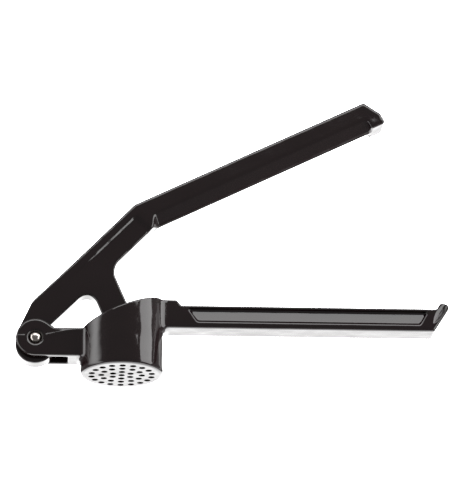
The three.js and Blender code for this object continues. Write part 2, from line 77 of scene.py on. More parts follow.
# Hopper, with its mouth cut on a slope.
MOUTH_HEIGHT = 24.5
MOUTH_SLOPE = math.radians(22)
HOPPER_WALL = 1.6
FLOOR_THICKNESS = 1.8
FLOOR_ROUNDING = 1.6
BORE_ROUNDING = 1.2
RIM_ROUNDING = 0.5
SLOT_ROUNDING = 0.8
HOLE_FLARE = 0.1
HOLE_TURNS = 30
HOLE_MARGIN = 2.97
HOLE_RINGS = 3

# Ears, and the arm that carries them.
HINGE = np.array([-34.7, 13.7])
EAR_RADIUS = 7.7
EAR_HALF = 6.75
SLOT_HALF = 3.95
SLOT_END = -21.7
ARM_TOP = 17.8
SHOULDER_ANGLE = 35
SHOULDER_ROUNDING = 3
PIN_RADIUS = 2.35
PIN_DOME = 1.6
PIN_TURNS = 64
COUNTERSINK_RADIUS = 3.1
COUNTERSINK_DEPTH = 0.7
DISH_RADIUS = 4.2
DISH_DEPTH = 0.35
RIDGE_HEIGHT = 0.15
RIDGE_WIDTH = 0.7
RIDGE_RISE = 0.24

# Lower handle.
HANDLE_HALF = 5.87
UNDERSIDE = 18.7
LOWER_TOP = 28.05
LOWER_REACH = 132.2
TOP_FLANGE = 1.1
BOTTOM_FLANGE = 2.7
POCKET_DEPTH = 1.8
POCKET_SWEEP = 1.0
NECK_TOP = 30.4
NECK_REACH = 22.0
NECK_SLANT = 54
NECK_BORDER = 1.8
LIP_RISE = 2.5
LIP_SLANT = 57
LIP_THICKNESS = 4.2
LIP_BORDER = 2.2
CORNER_ROUNDING = 1.2
POCKET_EDGE = 0.7
LIP_DISH_START = 2.6
LIP_DISH_LENGTH = 11.2
LIP_DISH_SWELL = 1.5
LIP_DISH_DEPTH = 1.2

# Lever.
NECK_ANGLE = 45.6
NECK_DEPTH = 12.3
NECK_LENGTH = 69.1
NECK_FLANGE = 4.0
WEB_START = 28.7
WEB_DEPTH = 0.9
WEB_RAMP = 3.0
WEB_BORDER = 1.8
WEB_STEP = 0.6
BOSS_RADIUS = 8.0
BOSS_DROP = 2.0
BOSS_HALF = 3.6
HEEL_ANGLE = 20
HEEL_ROUNDING = 8
INNER_BEND_ROUNDING = 6
BEND_ROUNDING = 2.5
HOLE_BEVEL = 0.4
HOLE_BEVEL_DEPTH = 0.3
HANDLE_ANGLE = 26.45
UPPER_DEPTH = 11.8
UPPER_LENGTH = 110.3
UPPER_SIDE = 7.4
UPPER_LIP_LENGTH = 6.6
UPPER_END_RUN = 4.2
KEEL_HALF = 1.0
KEEL_START = 1.0
KEEL_RAMP = 5.0
KEEL_RUN_OUT = 4.0
KEEL_CLEARING = 2.0
KEEL_ROUNDING = 0.8
ARM_ANGLE = -67
ARM_WIDTH = 11.2
ARM_LENGTH = 18.9
ARM_TIP_RADIUS = 2.8
ARM_SHOULDER = 3.8
GAP_PLACE = 21.8
GAP_RADIUS = 6.3
ARM_FILLET = 4.0

# Plunger, and the pins.
FOOT_THICKNESS = 2.0
FOOT_DROP = 5.2
FOOT_LEAN = 16.9
LUG_THICKNESS = 2.2
LUG_RADIUS = 3.2
LUG_FLARE = 1.5
SWIVEL_PIN_RADIUS = 1.3
SWIVEL_PIN_EDGE = 0.25
SWIVEL_BEVEL = 0.3
SWIVEL_BEVEL_DEPTH = 0.2
SWIVEL_TURNS = 32
FOOT_EDGE = 0.5
LUG_EDGE = 0.35
LUG_FILLET = 0.6
RUNNING_GAP = 0.1

# Camera: turned, raised and rolled about a target given from the press's zero, in metres.
CAMERA_TURN = math.radians(4.2)
CAMERA_RISE = math.radians(20.96)
CAMERA_ROLL = math.radians(-0.59)
CAMERA_DISTANCE = 1.2
CAMERA_LENS = 211.78
CAMERA_TARGET = (0.04402, 0.05443)

joints = {joint["name"]: joint for joint in frame["joints"]}
body_low, body_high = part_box("press_body")
hopper_radius = (body_high.z - body_low.z) / 2 / MM
foot_low, foot_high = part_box("plunger_foot")
foot_radius = (foot_high.z - foot_low.z) / 2 / MM
press_origin = Vector((
    joints["lever_hinge"]["pos_m"][0] - HINGE[0] * MM,
    body_low.y,
    (body_low.z + body_high.z) / 2,
))


def linear(hex_colour):
    """An sRGB hex colour as linear red, green, blue and 1."""
    parts = [int(hex_colour[i:i + 2], 16) / 255 for i in (1, 3, 5)]
    return [x / 12.92 if x <= 0.04045 else ((x + 0.055) / 1.055) ** 2.4 for x in parts] + [1.0]


# ------------------------------------------------------------------ distances, in millimetres

def heading(degrees):
    return np.array([math.cos(math.radians(degrees)), math.sin(math.radians(degrees))])


def left_of(direction):
    return np.array([-direction[1], direction[0]])


def crossing(a, along_a, b, along_b):
    """Where the line through a meets the line through b."""
    gap = np.asarray(b, float) - a
    cross = along_a[0] * along_b[1] - along_a[1] * along_b[0]
    return a + along_a * (gap[0] * along_b[1] - gap[1] * along_b[0]) / cross


def rounded_outline(corners, steps=10):
    """Points of a closed outline through corners (point, radius), each rounded by a tangent arc."""
    points = []
    for i, (at, radius) in enumerate(corners):
        if radius == 0:
            points.append(at)
            continue
        back = corners[i - 1][0] - at
        ahead = corners[(i + 1) % len(corners)][0] - at
        back = back / np.linalg.norm(back)
        ahead = ahead / np.linalg.norm(ahead)
        half = math.acos(np.clip(back @ ahead, -1, 1)) / 2
        middle = (back + ahead) / np.linalg.norm(back + ahead)
        centre = at + middle * radius / math.sin(half)
        start = at + back * radius / math.tan(half) - centre
        end = at + ahead * radius / math.tan(half) - centre
        turn = math.atan2(start[0] * end[1] - start[1] * end[0], start @ end)
        for step in range(steps + 1):
            c, s = math.cos(turn * step / steps), math.sin(turn * step / steps)
            points.append(centre + np.array([c * start[0] - s * start[1], s * start[0] + c * start[1]]))
    return np.array(points)


def outline_distance(points, u, v):
    """Distance in the plane to a closed outline, negative inside it."""
    shape = np.broadcast(u, v).shape
    nearest = np.full(shape, np.inf)
    inside = np.zeros(shape, bool)
    for a, b in zip(points, np.roll(points, -1, axis=0)):
        edge = b - a
        du, dv = u - a[0], v - a[1]
        share = np.clip((du * edge[0] + dv * edge[1]) / (edge @ edge), 0, 1)
        nearest = np.minimum(nearest, (du - share * edge[0]) ** 2 + (dv - share * edge[1]) ** 2)
        if a[1] != b[1]:
            inside ^= ((a[1] > v) != (b[1] > v)) & (du < edge[0] * dv / edge[1])
    return np.where(inside, -1, 1) * np.sqrt(nearest)


def both(a, b, radius):
    """What two solids share, with the edge between them rounded."""
    corner = np.hypot(np.maximum(a + radius, 0), np.maximum(b + radius, 0))
    return np.minimum(np.maximum(a, b), -radius) + corner


def either(a, b, radius):
    """Two solids joined, with a fillet in the corner between them."""
    corner = np.hypot(np.maximum(radius - a, 0), np.maximum(radius - b, 0))
    return np.maximum(np.minimum(a, b), radius) - corner


def without(a, b, radius):
    """A solid less another, with the cut's edge rounded."""
    return both(a, -b, radius)


def ramp(value, start, end, low, high):
    """A smooth change from low to high as value goes from start to end."""
    share = np.clip((value - start) / (end - start), 0, 1)
    return low + (high - low) * share * share * (3 - 2 * share)


# ------------------------------------------------------------------ the body casting

LEVEL = heading(0)


def arm_points():
    shoulder = heading(-SHOULDER_ANGLE)
    tangent = HINGE + left_of(shoulder) * EAR_RADIUS
    dip = crossing(tangent, shoulder, np.array([0.0, ARM_TOP]), LEVEL)
    ear = [HINGE + heading(angle) * EAR_RADIUS for angle in range(90 - SHOULDER_ANGLE, 271, 5)]
    corners = [(point, 0) for point in ear]
    corners += [
        (np.array([0.0, HINGE[1] - EAR_RADIUS]), 0),
        (np.array([0.0, ARM_TOP]), 0),
        (dip, SHOULDER_ROUNDING),
    ]
    return rounded_outline(corners)


def lip_lines():
    direction = heading(LIP_SLANT)
    outer = crossing(
        np.array([LOWER_REACH, LOWER_TOP]), direction, np.array([0.0, UNDERSIDE]), LEVEL
    )
    return direction, outer


def lower_handle_points():
    slant, outer = lip_lines()
    inner = outer + left_of(slant) * LIP_THICKNESS
    lip_top = np.array([0.0, LOWER_TOP + LIP_RISE])
    top = np.array([0.0, LOWER_TOP])
    neck = np.array([NECK_REACH, NECK_TOP])
    return rounded_outline([
        (np.array([0.0, UNDERSIDE]), 0),
        (outer, CORNER_ROUNDING),
        (crossing(outer, slant, lip_top, LEVEL), 1.5 * CORNER_ROUNDING),
        (crossing(inner, slant, lip_top, LEVEL), CORNER_ROUNDING),
        (crossing(inner, slant, top, LEVEL), 0.8),
        (crossing(neck, heading(-NECK_SLANT), top, LEVEL), CORNER_ROUNDING),
        (neck, CORNER_ROUNDING),
        (np.array([0.0, NECK_TOP]), 0),
    ])


def pocket_points():
    slant, outer = lip_lines()
    top = np.array([0.0, LOWER_TOP - TOP_FLANGE])
    low = np.array([0.0, UNDERSIDE + BOTTOM_FLANGE])
    start = np.array([NECK_REACH + NECK_BORDER, NECK_TOP])
    end = outer + left_of(slant) * (LIP_THICKNESS + LIP_BORDER)
    return rounded_outline([
        (crossing(start, heading(-NECK_SLANT), low, LEVEL), 1.4),
        (crossing(end, slant, low, LEVEL), 0.9),
        (crossing(end, slant, top, LEVEL), 0.6),
        (crossing(start, heading(-NECK_SLANT), top, LEVEL), 0.6),
    ])


def lip_dish_points():
    """A leaf shape along the lip's side, pointed at both ends."""
    slant, outer = lip_lines()
    across = left_of(slant)
    foot = outer + slant * LIP_DISH_START + across * LIP_THICKNESS / 2
    half_length = LIP_DISH_LENGTH / 2
    radius = (half_length ** 2 + LIP_DISH_SWELL ** 2) / (2 * LIP_DISH_SWELL)
    half_turn = math.degrees(math.asin(half_length / radius))
    middle = foot + slant * half_length
    points = []
    for side in (1, -1):
        centre = middle - across * side * (radius - LIP_DISH_SWELL)
        for step in range(-8, 8):
            angle = LIP_SLANT + side * 90 + half_turn * step / 8
            points.append(centre + heading(angle) * radius)
    return np.array(points)


ARM_POINTS = arm_points()
LOWER_POINTS = lower_handle_points()
POCKET_POINTS = pocket_points()
LIP_DISH_POINTS = lip_dish_points()


def pocket_floor(v):
    """How far the pocket's floor is from the mid-plane at each height: deepest under the top flange."""
    top = LOWER_TOP - TOP_FLANGE
    rise = np.clip((top - v) / (top - UNDERSIDE - BOTTOM_FLANGE), 0, 1.2)
    return HANDLE_HALF - POCKET_DEPTH + POCKET_SWEEP * rise ** 1.3


def body_distance(u, v, w):
    """The hopper with its ears and its lower handle, without the small holes."""
    shape = bpy.context.scene.press_shape
    edge = shape.edge_rounding / MM
    side = np.abs(w)
    axis = np.hypot(u, w)
    pot = both(axis - hopper_radius, -v, FLOOR_ROUNDING)

    mouth = (v - MOUTH_HEIGHT - math.tan(MOUTH_SLOPE) * u) * math.cos(MOUTH_SLOPE)

    # A faint ridge runs along the arm's side, level over the ear and then up to the hopper's mouth.
    line = HINGE[1] + RIDGE_RISE * np.clip(u - HINGE[0] - PIN_RADIUS, 0, None)
    ridge = RIDGE_HEIGHT * np.exp(-(((v - line) / RIDGE_WIDTH) ** 2))
    arm = both(outline_distance(ARM_POINTS, u, v), side - EAR_HALF + RIDGE_HEIGHT - ridge, edge * 0.8)
    blend = both(either(pot, arm, shape.arm_fillet / MM), v - ARM_TOP, edge * 0.8)
    arm = np.maximum(np.minimum(arm, blend), u + hopper_radius / 2)

    handle_edge = ramp(v, UNDERSIDE + 3, LOWER_TOP - 2, edge * 1.1, 0.45)
    handle = both(outline_distance(LOWER_POINTS, u, v), side - HANDLE_HALF, handle_edge)
    blend = both(either(pot, handle, shape.handle_fillet / MM), v - NECK_TOP, edge)
    handle = both(np.minimum(handle, blend), mouth, RIM_ROUNDING)
    handle = np.maximum(handle, hopper_radius / 2 - u)

    # The pocket's floor sweeps up out of the thick lower flange and meets the thin upper one sharply.
    rim_round = ramp(v, UNDERSIDE + 3.5, LOWER_TOP - 2, 0.7, 0.3)
    pocket = both(outline_distance(POCKET_POINTS, u, v), pocket_floor(v) - side, POCKET_EDGE)
    handle = without(handle, pocket, rim_round)
    dish = outline_distance(LIP_DISH_POINTS, u, v)
    bowl = HANDLE_HALF - LIP_DISH_DEPTH * np.clip(-dish / LIP_DISH_SWELL, 0, 1) ** 0.7
    handle = without(handle, np.maximum(dish, bowl - side), 0.3)

    whole = np.minimum(both(pot, mouth, RIM_ROUNDING), np.minimum(arm, handle))
    bore = both(axis - hopper_radius + HOPPER_WALL, FLOOR_THICKNESS - v, BORE_ROUNDING)
    whole = without(whole, bore, RIM_ROUNDING)
    slot = both(u - SLOT_END, side - SLOT_HALF, SLOT_ROUNDING)
    return without(whole, slot, RIM_ROUNDING)


# ------------------------------------------------------------------ the lever casting

NECK_WAY = heading(NECK_ANGLE)
NECK_LEFT = left_of(NECK_WAY)
HANDLE_WAY = heading(HANDLE_ANGLE)
HANDLE_LEFT = left_of(HANDLE_WAY)
ARM_WAY = heading(ARM_ANGLE)
ACROSS_ARM = left_of(ARM_WAY)
BEND = HINGE + NECK_WAY * NECK_LENGTH + NECK_LEFT * NECK_DEPTH


def handle_point(s, t):
    return BEND + HANDLE_WAY * s + HANDLE_LEFT * t


GAP_CENTRE = HINGE + NECK_WAY * GAP_PLACE - NECK_LEFT * GAP_RADIUS
ARM_LINE = GAP_CENTRE + ACROSS_ARM * (GAP_RADIUS + ARM_WIDTH / 2)
ARM_ROOT = crossing(ARM_LINE, ARM_WAY, HINGE, NECK_WAY)
SWIVEL = ARM_ROOT + ARM_WAY * ARM_LENGTH


def lever_points():
    inner_bend = crossing(HINGE, NECK_WAY, handle_point(0, -UPPER_DEPTH), HANDLE_WAY)
    heel = heading(NECK_ANGLE + HEEL_ANGLE)
    heel_side = HINGE + left_of(heel) * BOSS_RADIUS
    fuller = np.array([0, -BOSS_DROP])
    boss = [
        (HINGE + heading(angle) * BOSS_RADIUS + fuller * (180 <= angle <= 360), 0)
        for angle in range(156, 402, 5)
    ]
    return rounded_outline([
        (HINGE + NECK_WAY * BOSS_RADIUS, 0),
        (inner_bend, INNER_BEND_ROUNDING),
        (handle_point(UPPER_LENGTH, -UPPER_DEPTH), CORNER_ROUNDING),
        (handle_point(UPPER_LENGTH, -UPPER_SIDE), CORNER_ROUNDING),
        (handle_point(UPPER_LENGTH - UPPER_END_RUN, 0), 1.4),
        (BEND, BEND_ROUNDING),
        (crossing(heel_side, heel, HINGE + NECK_LEFT * NECK_DEPTH, NECK_WAY), HEEL_ROUNDING),
        *boss,
    ])


def arm_point(along, across):
    return ARM_ROOT + ARM_WAY * along + ACROSS_ARM * across


def arm_blade_points():
    half = ARM_WIDTH / 2
    sunk = 5
    tip = [
        (SWIVEL + heading(ARM_ANGLE + angle) * ARM_TIP_RADIUS, 0)
        for angle in range(-90, 91, 10)
    ]
    return rounded_outline([
        (arm_point(-sunk, -half), 0),
        (arm_point(ARM_LENGTH - ARM_SHOULDER, -half), CORNER_ROUNDING),
        *tip,
        (arm_point(ARM_LENGTH - ARM_SHOULDER, half), CORNER_ROUNDING),
        (arm_point(-sunk, half), 0),
    ])


LEVER_POINTS = lever_points()
ARM_BLADE_POINTS = arm_blade_points()


def lever_distance(u, v, w):
    """The boss, webbed neck, plunger arm and keeled handle, without the pins' holes."""
    edge = bpy.context.scene.press_shape.edge_rounding / MM
    side = np.abs(w)
    along = (u - HINGE[0]) * NECK_WAY[0] + (v - HINGE[1]) * NECK_WAY[1]
    across = (u - HINGE[0]) * NECK_LEFT[0] + (v - HINGE[1]) * NECK_LEFT[1]
    growth = (HANDLE_HALF - BOSS_HALF) / (NECK_LENGTH - WEB_START)
    half = BOSS_HALF + growth * np.clip(along - WEB_START, 0, NECK_LENGTH - WEB_START)
    outline = outline_distance(LEVER_POINTS, u, v)

    # The web is level with the boss, then a little below the flange, and ends where the handle begins.
    end = NECK_LENGTH - WEB_BORDER
    depth = np.minimum(half - BOSS_HALF, WEB_DEPTH) * ramp(along, end - WEB_RAMP, end, 1, 0)
    web = half - depth
    flange = NECK_DEPTH - NECK_FLANGE
    limit = half - depth * ramp(across, flange - WEB_STEP, flange + WEB_STEP, 1, 0)
    lever = both(outline, side - limit, edge * ramp(along, 10, 40, 0.5, 1))

    # Below its flat sides the handle narrows to a keel, from the bend to the lip at its end.
    s = (u - BEND[0]) * HANDLE_WAY[0] + (v - BEND[1]) * HANDLE_WAY[1]
    t = (u - BEND[0]) * HANDLE_LEFT[0] + (v - BEND[1]) * HANDLE_LEFT[1]
    slant = math.atan2(HANDLE_HALF - KEEL_HALF, UPPER_DEPTH - UPPER_SIDE)
    flank = (side - HANDLE_HALF) * math.cos(slant) - (t + UPPER_SIDE) * math.sin(slant)
    flank = flank - ramp(s, KEEL_START + KEEL_RAMP, KEEL_START, 0, KEEL_RUN_OUT)
    flank = flank - KEEL_CLEARING * np.clip(KEEL_START - s, 0, None)
    lip = UPPER_LENGTH - UPPER_LIP_LENGTH
    beyond = both(-flank, s - lip, KEEL_ROUNDING)
    lever = without(lever, beyond, KEEL_ROUNDING)

    blade = outline_distance(ARM_BLADE_POINTS, u, v)
    arm_side = (u - ARM_ROOT[0]) * ACROSS_ARM[0] + (v - ARM_ROOT[1]) * ACROSS_ARM[1]
    fillet = np.where(arm_side > 0, ARM_FILLET, GAP_RADIUS)
    arm = both(either(outline, blade, fillet), side - web, edge * 0.7)
    reach = np.hypot(u - ARM_ROOT[0], v - ARM_ROOT[1]) - ARM_LENGTH * 1.4
    return np.minimum(lever, np.maximum(arm, reach))


# ------------------------------------------------------------------ the plunger

def plunger_distance(x, y, w):
    """The plunger's disc, its axis along y, with the lugs that hold its pin. The pin is at the zero."""
    side = np.abs(w)
    half = FOOT_THICKNESS / 2
    foot = both(np.hypot(x, w) - foot_radius, np.abs(y + FOOT_DROP - half) - half, FOOT_EDGE)
    rise = np.clip((y + FOOT_DROP - FOOT_THICKNESS) / (FOOT_DROP - FOOT_THICKNESS), 0, 1)
    slant = math.atan(LUG_FLARE / FOOT_DROP)
    flank = (np.abs(x) - LUG_RADIUS - LUG_FLARE * (1 - rise)) * math.cos(slant)
    post = np.maximum(flank, np.maximum(y, -y - FOOT_DROP + half))
    eye = np.hypot(x, y) - LUG_RADIUS
    middle = SLOT_HALF + LUG_THICKNESS / 2
    lug = both(np.minimum(post, eye), np.abs(side - middle) - LUG_THICKNESS / 2, LUG_EDGE)
    return either(foot, lug, LUG_FILLET)


# ------------------------------------------------------------------ meshes

def gradient(field, places, step=0.02):
    """The direction in which a distance grows at each place."""
    found = np.empty_like(places)
    for axis in range(3):
        ahead, behind = places.copy(), places.copy()
        ahead[:, axis] += step
        behind[:, axis] -= step
        found[:, axis] = field(*ahead.T) - field(*behind.T)
    return found / np.maximum(np.linalg.norm(found, axis=1), 1e-9)[:, None]


def surface_of(field, low, high, step):
    """Places and four-sided faces of the surface where a distance is zero."""
    low = np.asarray(low, float)
    counts = np.ceil((np.asarray(high) - low) / step).astype(int) + 1
    axes = [low[i] + step * np.arange(counts[i]) for i in range(3)]
    values = field(axes[0][:, None, None], axes[1][None, :, None], axes[2][None, None, :])
    sums = np.zeros((*(counts - 1), 3))
    hits = np.zeros(counts - 1, int)
    edges = []
    for axis in range(3):
        first = [slice(None)] * 3
        second = [slice(None)] * 3
        first[axis], second[axis] = slice(0, -1), slice(1, None)
        a, b = values[tuple(first)], values[tuple(second)]
        cells = np.stack(np.nonzero((a < 0) != (b < 0)), axis=1)
        a, b = a[tuple(cells.T)], b[tuple(cells.T)]
        places = cells.astype(float)
        places[:, axis] += a / (a - b)
        p, q = [i for i in range(3) if i != axis]
        around = []
        for dp, dq in ((1, 1), (0, 1), (0, 0), (1, 0)):
            cell = cells.copy()
            cell[:, p] -= dp
            cell[:, q] -= dq
            np.add.at(sums, tuple(cell.T), places)
            np.add.at(hits, tuple(cell.T), 1)
            around.append(cell)
        flip = (a < 0) == (axis == 1)
        edges.append((around, flip))
    index = np.full(hits.shape, -1)
    used = hits > 0
    index[used] = np.arange(used.sum())
    faces = []
    for around, flip in edges:
        quads = np.stack([index[tuple(cell.T)] for cell in around], axis=1)
        quads[flip] = quads[flip][:, ::-1]
        faces.append(quads)
    places = low + step * sums[used] / hits[used][:, None]
    for _ in range(2):
        way = gradient(field, places)
        places -= np.clip(field(*places.T), -step / 2, step / 2)[:, None] * way
    return places, np.concatenate(faces)


def to_row(places):
    """Places in the press's millimetres as metres in the row's frame."""
    return np.asarray(places) * MM + np.array(press_origin)


def smooth_object(name, places, faces, material):
    mesh = bpy.data.meshes.new(name)
    mesh.vertices.add(len(places))
    mesh.vertices.foreach_set("co", to_row(places).astype(np.float32).ravel())
    mesh.loops.add(faces.size)
    mesh.loops.foreach_set("vertex_index", faces.ravel().astype(np.int32))
    mesh.polygons.add(len(faces))
    mesh.polygons.foreach_set("loop_start", np.arange(0, faces.size, 4, dtype=np.int32))
    mesh.update(calc_edges=True)
    mesh.validate()
    mesh.polygons.foreach_set("use_smooth", np.ones(len(faces), bool))
    mesh.materials.append(material)
    made = bpy.data.objects.new(name, mesh)
    bpy.context.scene.collection.objects.link(made)
    return made


def turned(name, profile, turns, material, place, way):
    """A solid turned from a profile of (radius, height), standing at place with its axis along way."""
    mesh = bpy.data.meshes.new(name)
    build = bmesh.new()
    outline = [build.verts.new((radius * MM, 0, height * MM)) for radius, height in profile]
    lines = [build.edges.new(pair) for pair in zip(outline, outline[1:])]
    bmesh.ops.spin(
        build, geom=outline + lines, cent=(0, 0, 0), axis=(0, 0, 1),
        angle=2 * math.pi, steps=turns, use_merge=True,
    )
    bmesh.ops.remove_doubles(build, verts=build.verts, dist=1e-7)
    bmesh.ops.recalc_face_normals(build, faces=build.faces)
    stand = Vector(way).to_track_quat("Z", "Y").to_matrix().to_4x4()
    build.transform(Matrix.Translation(to_row(place)) @ stand)
    build.to_mesh(mesh)
    build.free()
    mesh.polygons.foreach_set("use_smooth", np.ones(len(mesh.polygons), bool))
    if material:
        mesh.materials.append(material)
    made = bpy.data.objects.new(name, mesh)
    bpy.context.scene.collection.objects.link(made)
    return made


def quarter_round(radius_at, height_at, rounding, start, end, steps=6):
    """Profile points of an arc about (radius_at, height_at), from one angle to another in degrees."""
    return [
        tuple(np.array([radius_at, height_at]) + rounding * heading(start + (end - start) * i / steps))
        for i in range(steps + 1)
    ]


def cut_away(piece, tools):
    """Cuts each tool's solid out of a piece, and keeps the new edges crisp."""
    group = bpy.data.collections.new("cutters")
    bpy.context.scene.collection.children.link(group)
    for tool in tools:
        bpy.context.scene.collection.objects.unlink(tool)
        group.objects.link(tool)
    cut = piece.modifiers.new("holes", "BOOLEAN")
    cut.operand_type = "COLLECTION"
    cut.collection = group
    cut.solver = "MANIFOLD"
    depsgraph = bpy.context.evaluated_depsgraph_get()
    done = bpy.data.meshes.new_from_object(piece.evaluated_get(depsgraph))
    done.name = piece.name
    piece.modifiers.clear()
    piece.data = done
    for tool in tools:
        bpy.data.objects.remove(tool)
    bpy.data.collections.remove(group)
    done.polygons.foreach_set("use_smooth", np.ones(len(done.polygons), bool))
    done.set_sharp_from_angle(angle=math.radians(50))


def through_hole(place, radius, reach, mouths, turns):
    """A cutter for a hole along the pin's way. At both ends it opens out in cones, each given as its
    wide radius and the depth that it starts at, the outermost first."""
    outer, depth = mouths[0]
    inner = mouths[1][0] if len(mouths) > 1 else radius
    overrun = 1
    beyond = outer + (outer - inner) / depth * overrun
    starts = [radius] + [mouth for mouth, down in reversed(mouths[1:])]
    half = [(r, reach - down) for r, (mouth, down) in zip(starts, reversed(mouths))]
    half += [(beyond, reach + overrun), (0, reach + overrun)]
    profile = [(r, -h) for r, h in reversed(half)] + half
    return turned("cutter", profile, turns, None, (*place, 0), (0, 0, 1))


def swivel_hole(reach):
    """The cutter for the plunger pin's hole, out to reach on each side."""
    return through_hole(
        SWIVEL, SWIVEL_PIN_RADIUS + RUNNING_GAP, reach,
        [(SWIVEL_PIN_RADIUS + SWIVEL_BEVEL, SWIVEL_BEVEL_DEPTH)], SWIVEL_TURNS,
    )


def rides(piece, body, node):
    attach(piece, body)
    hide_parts(node)


# ------------------------------------------------------------------ materials

def add_node(tree, kind, settings=None, links=None):
    """Adds a node, sets its properties and sockets by name, and links its inputs from other sockets."""
    node = tree.nodes.new(kind)
    for key, value in (settings or {}).items():
        if hasattr(node, key):
            setattr(node, key, value)
        else:
            node.inputs[key].default_value = value
    for key, source in (links or {}).items():
        tree.links.new(source, node.inputs[key])
    return node


def new_material(name):
    material = bpy.data.materials.new(name)
    material.use_nodes = True
    tree = material.node_tree
    tree.nodes.clear()
    shader = add_node(tree, "ShaderNodeBsdfPrincipled")
    add_node(tree, "ShaderNodeOutputMaterial", links={"Surface": shader.outputs[0]})
    where = add_node(tree, "ShaderNodeTexCoord").outputs["Object"]
    return material, tree, shader, where


def gloss_black_coating(colours):
    """Die-cast zinc, sprayed with a thick gloss black coat: nearly a mirror, with the casting's slow
    waves and a fine orange peel that make each reflection's edge wander."""
    material, tree, shader, where = new_material("gloss_black_sprayed_zinc")
    cloud = add_node(tree, "ShaderNodeTexNoise", {"Scale": 1 / 0.02, "Detail": 3}, {"Vector": where})
    tint = add_node(tree, "ShaderNodeMix", {"data_type": "RGBA"}, {0: cloud.outputs["Fac"]})
    tint.inputs[6].default_value = linear(colours.coating)
    tint.inputs[7].default_value = linear(colours.coating_thin)
    waves = add_node(tree, "ShaderNodeTexNoise", {"Scale": 1 / 0.011, "Detail": 1.5}, {"Vector": where})
    peel = add_node(tree, "ShaderNodeTexNoise", {"Scale": 1 / 0.0016, "Detail": 2}, {"Vector": where})
    low = add_node(
        tree, "ShaderNodeBump", {"Strength": 1.0, "Distance": colours.wave_height},
        {"Height": waves.outputs["Fac"]},
    )
    high = add_node(
        tree, "ShaderNodeBump", {"Strength": 1.0, "Distance": colours.peel_height},
        {"Height": peel.outputs["Fac"], "Normal": low.outputs[0]},
    )
    haze = add_node(
        tree, "ShaderNodeMapRange", {"To Min": 0.05, "To Max": 0.12}, {"Value": cloud.outputs["Fac"]}
    )
    tree.links.new(tint.outputs[2], shader.inputs["Base Color"])
    tree.links.new(haze.outputs[0], shader.inputs["Roughness"])
    tree.links.new(high.outputs[0], shader.inputs["Normal"])
    shader.inputs["IOR"].default_value = 1.5
    return material


def polished_steel(colours):
    """Stainless steel, turned and then polished: bright, with faint rings left by the tool."""
    material, tree, shader, where = new_material("polished_stainless_steel")
    smudge = add_node(tree, "ShaderNodeTexNoise", {"Scale": 1 / 0.003, "Detail": 4}, {"Vector": where})
    haze = add_node(
        tree, "ShaderNodeMapRange", {"To Min": 0.12, "To Max": 0.3}, {"Value": smudge.outputs["Fac"]}
    )
    fine = add_node(tree, "ShaderNodeTexNoise", {"Scale": 1 / 0.0006, "Detail": 3}, {"Vector": where})
    bump = add_node(
        tree, "ShaderNodeBump", {"Strength": 0.6, "Distance": 0.00001}, {"Height": fine.outputs["Fac"]}
    )
    shader.inputs["Base Color"].default_value = linear(colours.steel)
    shader.inputs["Metallic"].default_value = 1.0
    tree.links.new(haze.outputs[0], shader.inputs["Roughness"])
    tree.links.new(bump.outputs[0], shader.inputs["Normal"])
    return material


def satin_steel(colours):
    """Stainless steel sheet with a satin grain: the light is drawn out across fine lines."""
    material, tree, shader, where = new_material("satin_stainless_steel")
    stretch = add_node(
        tree, "ShaderNodeMapping", {"Scale": (1 / 0.0003, 1 / 0.0003, 1 / 0.012)}, {"Vector": where}
    )
    grain = add_node(
        tree, "ShaderNodeTexNoise", {"Scale": 1.0, "Detail": 4}, {"Vector": stretch.outputs[0]}
    )
    haze = add_node(
        tree, "ShaderNodeMapRange", {"To Min": 0.25, "To Max": 0.45}, {"Value": grain.outputs["Fac"]}
    )
    bump = add_node(
        tree, "ShaderNodeBump", {"Strength": 0.5, "Distance": 0.00002}, {"Height": grain.outputs["Fac"]}
    )
    shader.inputs["Base Color"].default_value = linear(colours.satin)
    shader.inputs["Metallic"].default_value = 1.0
    tree.links.new(haze.outputs[0], shader.inputs["Roughness"])
    tree.links.new(bump.outputs[0], shader.inputs["Normal"])
    return material


# ------------------------------------------------------------------ settings

class PressShape(bpy.types.PropertyGroup):
    """Sizes of the castings' finish."""
    edge_rounding: FloatProperty(
        name="Edge rounding", description="Radius of the castings' long edges",
        default=1.2 * MM, unit="LENGTH",
    )
    arm_fillet: FloatProperty(
        name="Arm fillet", description="Radius where the arm leaves the hopper",
        default=1.8 * MM, unit="LENGTH",
    )
    handle_fillet: FloatProperty(
        name="Handle fillet", description="Radius where the lower handle leaves the hopper",
        default=2.8 * MM, unit="LENGTH",
    )
    mesh_step: FloatProperty(
        name="Mesh step", description="Size of the castings' faces", default=0.4 * MM, unit="LENGTH",
    )
    hole_radius: FloatProperty(
        name="Hole radius", description="Radius of each hole in the sieve",
        default=1.25 * MM, unit="LENGTH",
    )


class PressColours(bpy.types.PropertyGroup):
    """Colours and surface relief of the finishes."""
    coating: StringProperty(name="Coating", description="Colour of the coat", default="#120B0C")
    coating_thin: StringProperty(
        name="Thin coating", description="Colour where the coat is thinner", default="#160F0F",
    )
    steel: StringProperty(name="Pin steel", description="Colour of the pins", default="#A8A29C")
    satin: StringProperty(name="Plunger steel", description="Colour of the plunger", default="#A4A4A2")
    wave_height: FloatProperty(
        name="Wave height", description="Height of the casting's slow waves",
        default=0.4 * MM, unit="LENGTH",
    )
    peel_height: FloatProperty(
        name="Peel height", description="Height of the coat's orange peel",
        default=0.0008 * MM, unit="LENGTH",
    )


